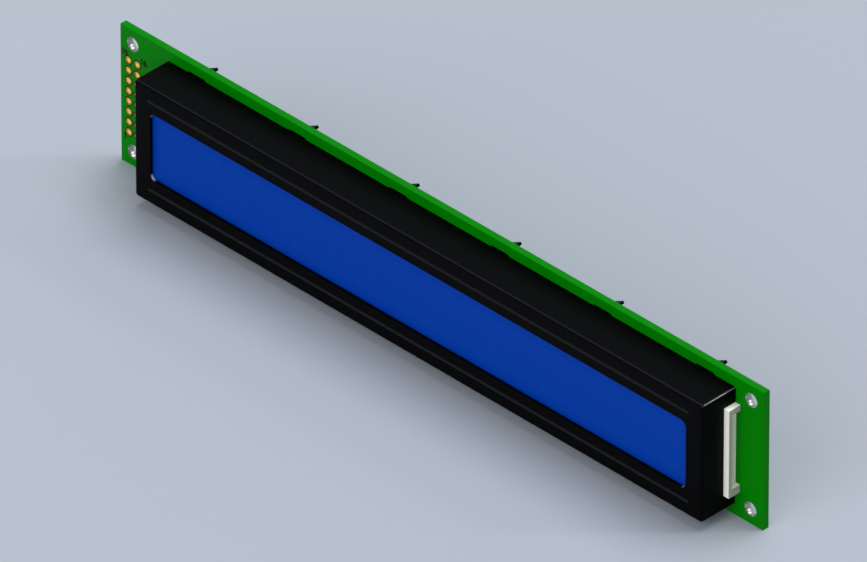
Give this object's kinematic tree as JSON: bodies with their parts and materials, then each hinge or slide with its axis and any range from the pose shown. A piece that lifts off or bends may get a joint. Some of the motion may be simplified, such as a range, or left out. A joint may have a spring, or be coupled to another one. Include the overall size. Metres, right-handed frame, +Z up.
{
  "type": "character display module",
  "caption": "Long character display module: green circuit board with a pin header pattern, black steel bezel held by twisted tabs, blue display face and edge-lit backlight.",
  "frame": {"origin": "centre of the four-hole mounting pattern, on the circuit board's front face", "axes": "+X along the module to the right as the display is read, +Z up, the display faces -Y"},
  "size_m": [0.182, 0.0138, 0.0336],
  "materials": {
    "solder_mask": "glossy green lacquer over glass-epoxy board",
    "tin_plating": "tinned copper",
    "gold_plating": "bright gold plate over copper",
    "black_painted_steel": "semi-gloss black paint",
    "display_face": "smooth deep blue film",
    "clear_glass": "polished",
    "seal_resin": "cured resin",
    "liquid_crystal": "clear fluid between the glasses",
    "port_resin": "amber resin",
    "rear_film": "dark polarising film",
    "diffuser": "frosted film",
    "clear_acrylic": "polished acrylic",
    "reflector": "white reflecting film",
    "cream_plastic": "fine matt moulding",
    "white_laminate": "white lacquer over board",
    "diode_plastic": "white moulding",
    "pin_metal": "tinned wire",
    "solder": "bright solder",
    "strip_rubber": "silicone rubber with fine dark layers",
    "chip_resin": "smooth black resin",
    "resistor_body": "black glaze",
    "capacitor_body": "tan ceramic",
    "chip_terminal": "tinned ends"
  },
  "bodies": {
    "root": {"circuit_board": "solder_mask", "mounting_hole_barrels": "tin_plating", "jumper_pads": "tin_plating", "header_eyelets": "gold_plating", "upper_contact_pads": "gold_plating", "lower_contact_pads": "gold_plating", "bezel": "black_painted_steel", "front_polariser": "display_face", "front_glass": "clear_glass", "rear_glass": "clear_glass", "cell_seal": "seal_resin", "liquid_crystal_layer": "liquid_crystal", "fill_port_plug": "port_resin", "rear_polariser": "rear_film", "diffuser_film": "diffuser", "light_guide": "clear_acrylic", "reflector_film": "reflector", "backlight_housing": "cream_plastic", "led_boards": "white_laminate", "backlight_leds": "diode_plastic", "backlight_pins": "pin_metal", "pin_solder_joints": "solder", "chip_solder_fillets": "solder", "upper_zebra_strip": "strip_rubber", "lower_zebra_strip": "strip_rubber", "controller_blob": "chip_resin", "driver_blobs": "chip_resin", "chip_resistors": "resistor_body", "chip_capacitors": "capacitor_body", "chip_end_caps": "chip_terminal"}
  },
  "joints": []
}
